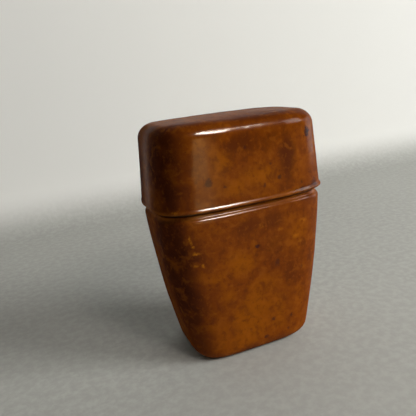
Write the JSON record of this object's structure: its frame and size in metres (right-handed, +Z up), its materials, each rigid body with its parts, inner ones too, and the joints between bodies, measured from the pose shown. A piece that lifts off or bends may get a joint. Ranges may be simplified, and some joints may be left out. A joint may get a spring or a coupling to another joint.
{
  "type": "leather dice cup",
  "caption": "Flat, tapering dice cup of hard polished leather with a deep pull-off lid that slides over an inner neck, closed over loose dice.",
  "frame": {"origin": "middle of the underside, on the table under the centre of the cup", "axes": "+Z up through the lid, +X along the wide side, +Y through the flat back"},
  "size_m": [0.0786, 0.0478, 0.1076],
  "materials": {
    "polished_hide": "polished, mottled cognac patina",
    "neck_hide": "smooth, lighter and less polished",
    "lining_suede": "brushed suede",
    "stiffener_board": "plain pressed board",
    "pad_felt": "dense wool felt",
    "dice_bone": "ivory-coloured resin with black pips"
  },
  "bodies": {
    "cup": {"cup_shell": "polished_hide", "cup_sole": "polished_hide", "cup_base_board": "stiffener_board", "cup_floor_pad": "pad_felt", "neck_sleeve": "neck_hide", "cup_lining": "lining_suede"},
    "lid": {"lid_shell": "polished_hide", "lid_top_board": "stiffener_board", "lid_top_pad": "pad_felt", "lid_lining": "lining_suede"},
    "die_1": {"die_1": "dice_bone"},
    "die_2": {"die_2": "dice_bone"},
    "die_3": {"die_3": "dice_bone"},
    "die_4": {"die_4": "dice_bone"},
    "die_5": {"die_5": "dice_bone"}
  },
  "joints": [
    {"name": "lid_lift", "type": "slide", "parent": "cup", "child": "lid", "axis": [0, 0, 1], "range_m": [0, 0.055]},
    {"name": "die_1_rattle", "type": "slide", "parent": "cup", "child": "die_1", "axis": [0, 0, 1], "range_m": [0, 0.084]},
    {"name": "die_2_rattle", "type": "slide", "parent": "cup", "child": "die_2", "axis": [0, 0, 1], "range_m": [0, 0.084]},
    {"name": "die_3_rattle", "type": "slide", "parent": "cup", "child": "die_3", "axis": [0, 0, 1], "range_m": [0, 0.084]},
    {"name": "die_4_rattle", "type": "slide", "parent": "cup", "child": "die_4", "axis": [0, 0, 1], "range_m": [0, 0.084]},
    {"name": "die_5_rattle", "type": "slide", "parent": "cup", "child": "die_5", "axis": [0, 0, 1], "range_m": [0, 0.084]}
  ]
}
